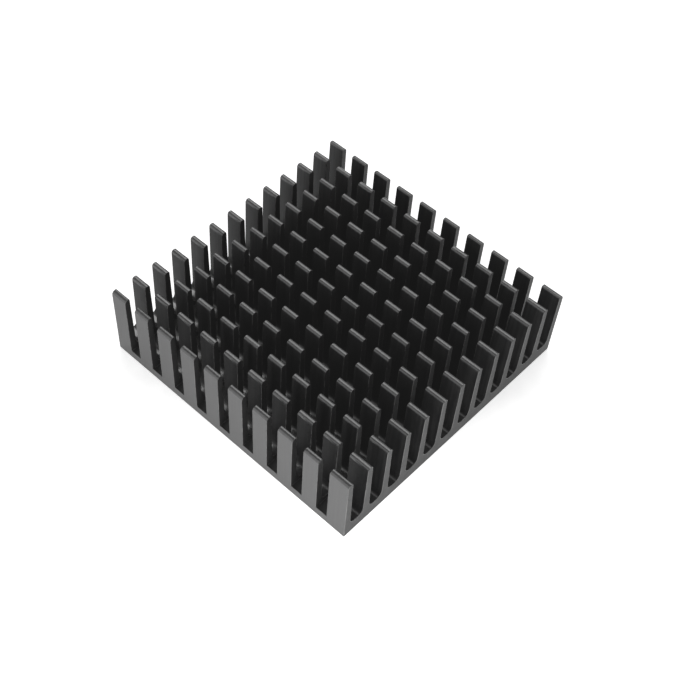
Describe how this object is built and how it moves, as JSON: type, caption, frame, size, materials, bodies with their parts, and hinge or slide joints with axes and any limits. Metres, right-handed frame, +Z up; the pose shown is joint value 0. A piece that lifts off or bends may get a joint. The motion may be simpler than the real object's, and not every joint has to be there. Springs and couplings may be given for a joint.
{
  "type": "pin fin heat sink",
  "caption": "Square black anodised heat sink: a thin flat base with rows of flat upright pins, extruded as fins and cut across by saw slots, to cool a chip or module.",
  "frame": {"origin": "centre of the flat underside, which is the face that sits on the part to be cooled", "axes": "+Z up from the underside to the fin tips; X runs along the extrusion, with the longer end pins at +X; Y runs along the saw slots, across the fins"},
  "size_m": [0.04, 0.04, 0.011],
  "materials": {
    "black_anodised": "black anodised, satin"
  },
  "bodies": {
    "root": {"heat_sink": "black_anodised"}
  },
  "joints": []
}
